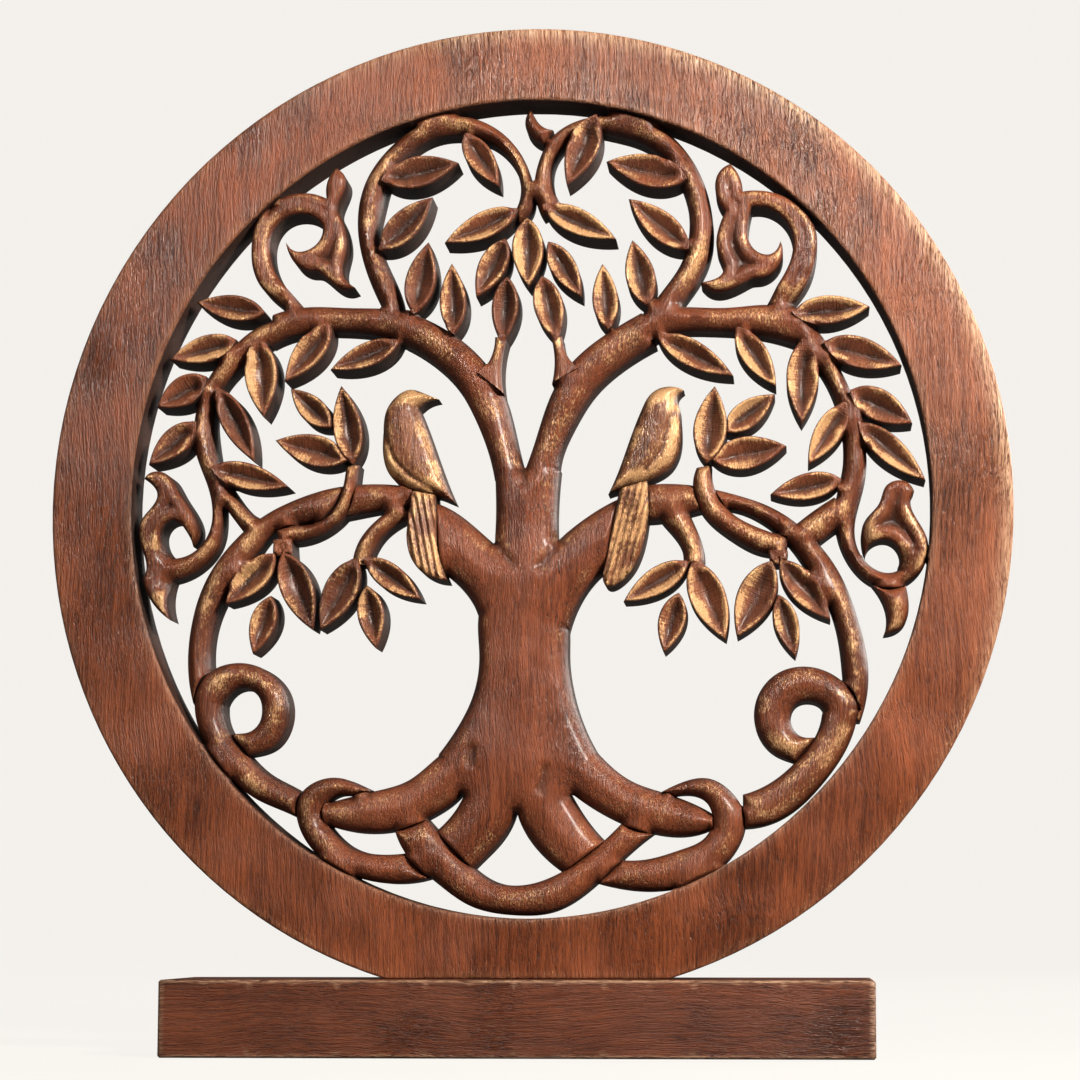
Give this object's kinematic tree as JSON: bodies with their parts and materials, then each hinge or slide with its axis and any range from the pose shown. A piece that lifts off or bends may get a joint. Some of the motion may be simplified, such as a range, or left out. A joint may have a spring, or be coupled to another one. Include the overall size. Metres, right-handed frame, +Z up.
{
  "type": "carved tree of life sculpture",
  "caption": "Free-standing openwork relief: a round frame holding a carved tree with birds, leaves and curling vines, set upright on a flat plinth board.",
  "frame": {"origin": "on the floor under the middle of the carved panel", "axes": "+X to the right seen from the front, +Y from the carved front to the back, +Z up"},
  "size_m": [0.3848, 0.062, 0.4128],
  "materials": {
    "ring_wood": "reddish-brown stain, satin wax",
    "trunk_wood": "reddish-brown stain with gold rubbed on the high edges",
    "vine_wood": "reddish-brown stain with gold rubbed on the ridges",
    "leaf_wood": "reddish-brown stain with gold rubbed on the rims",
    "bird_wood": "reddish-brown stain with gold rubbed on the wings and tails",
    "base_wood": "reddish-brown stain, satin wax",
    "screw_steel": "zinc plated"
  },
  "bodies": {
    "root": {"ring_frame": "ring_wood", "base_board": "base_wood", "base_screws": "screw_steel", "center_leaves": "leaf_wood", "left_arch": "vine_wood", "left_bird": "bird_wood", "left_bird_tail": "bird_wood", "left_bough": "trunk_wood", "left_bough_leaves": "leaf_wood", "left_branch": "trunk_wood", "left_connector": "vine_wood", "left_corner_leaves": "leaf_wood", "left_crown_leaves": "leaf_wood", "left_curl": "vine_wood", "left_curl_stem": "vine_wood", "left_hanging_twig": "vine_wood", "left_inner_leaves": "leaf_wood", "left_inner_root": "trunk_wood", "left_low_leaves": "leaf_wood", "left_lower_bough": "trunk_wood", "left_middle_leaves": "leaf_wood", "left_outer_leaves": "leaf_wood", "left_root": "trunk_wood", "left_root_loop": "trunk_wood", "left_side_scroll": "vine_wood", "left_stem": "vine_wood", "left_top_vine": "vine_wood", "left_twig": "vine_wood", "left_upper_scroll": "vine_wood", "right_arch": "vine_wood", "right_bird": "bird_wood", "right_bird_tail": "bird_wood", "right_bough": "trunk_wood", "right_bough_leaves": "leaf_wood", "right_branch": "trunk_wood", "right_connector": "vine_wood", "right_corner_leaves": "leaf_wood", "right_crown_leaves": "leaf_wood", "right_curl": "vine_wood", "right_curl_stem": "vine_wood", "right_hanging_twig": "vine_wood", "right_inner_leaves": "leaf_wood", "right_inner_root": "trunk_wood", "right_low_leaves": "leaf_wood", "right_lower_bough": "trunk_wood", "right_middle_leaves": "leaf_wood", "right_outer_leaves": "leaf_wood", "right_root": "trunk_wood", "right_root_loop": "trunk_wood", "right_scroll_bud": "vine_wood", "right_side_scroll": "vine_wood", "right_stem": "vine_wood", "right_top_vine": "vine_wood", "right_twig": "vine_wood", "right_upper_scroll": "vine_wood", "root_swag": "trunk_wood", "top_bud": "vine_wood", "trunk": "trunk_wood"}
  },
  "joints": []
}
